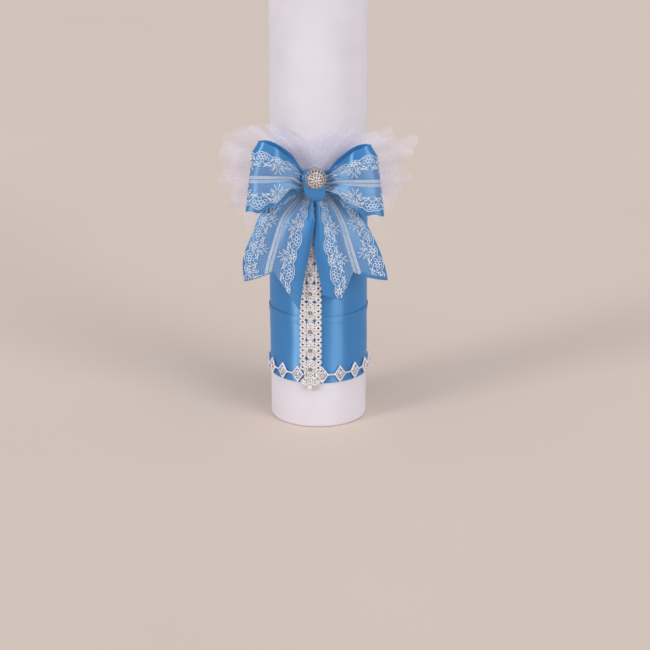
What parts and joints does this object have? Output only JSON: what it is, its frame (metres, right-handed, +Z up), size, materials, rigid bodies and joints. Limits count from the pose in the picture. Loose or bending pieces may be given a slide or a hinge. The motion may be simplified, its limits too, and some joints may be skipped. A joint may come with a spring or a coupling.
{
  "type": "baptism candle",
  "caption": "Tall pillar candle wrapped in ribbon, with a lozenge chain round its foot, an openwork braid down the front and a bow on gathered tulle.",
  "frame": {"origin": "centre of the flat round foot, on the surface that the candle stands on", "axes": "+Z up along the wick, -Y towards the bow and braid, +X to the right of someone who looks at the bow"},
  "size_m": [0.1414, 0.0975, 0.412],
  "materials": {
    "wax": "smooth pale wax, faintly waxy sheen",
    "cotton_wick": "braided cotton",
    "blue_satin": "smooth woven satin with a soft directional sheen",
    "white_lace": "fine net with corded floral lace",
    "white_braid": "raised openwork braid, thread with a little shine",
    "tulle": "soft sheer tulle",
    "white_thread": "sewing thread",
    "silvered_metal": "bright silver plating",
    "crystal": "clear faceted stone, foiled behind",
    "pearl": "pearl lustre",
    "set_glue": "cloudy set glue"
  },
  "bodies": {
    "root": {"candle_body": "wax", "wick": "cotton_wick", "satin_band_lower": "blue_satin", "satin_band_middle": "blue_satin", "satin_band_upper": "blue_satin", "lozenge_chain": "silvered_metal", "front_braid": "white_braid", "pearl_pin": "pearl", "glue_pad": "set_glue", "tulle_back": "tulle", "tulle_middle": "tulle", "tulle_front": "tulle", "tail_satin": "blue_satin", "tail_lace": "white_lace", "loop_satin": "blue_satin", "loop_lace": "white_lace", "waist_thread": "white_thread", "knot_band": "blue_satin", "brooch_mount": "silvered_metal", "brooch_rosette": "crystal", "brooch_stone": "crystal", "chain_stone_01": "crystal", "chain_stone_02": "crystal", "chain_stone_03": "crystal", "chain_stone_04": "crystal", "chain_stone_05": "crystal", "chain_stone_06": "crystal", "chain_stone_07": "crystal", "chain_stone_08": "crystal", "chain_stone_09": "crystal", "chain_stone_10": "crystal", "chain_stone_11": "crystal", "chain_stone_12": "crystal", "chain_stone_13": "crystal", "chain_stone_14": "crystal", "chain_stone_15": "crystal", "chain_stone_16": "crystal", "chain_stone_17": "crystal", "braid_stone_1": "crystal", "braid_stone_2": "crystal", "braid_stone_3": "crystal", "braid_stone_4": "crystal", "braid_stone_5": "crystal", "braid_stone_6": "crystal", "braid_stone_7": "crystal", "braid_stone_8": "crystal", "braid_stone_9": "crystal"}
  },
  "joints": []
}
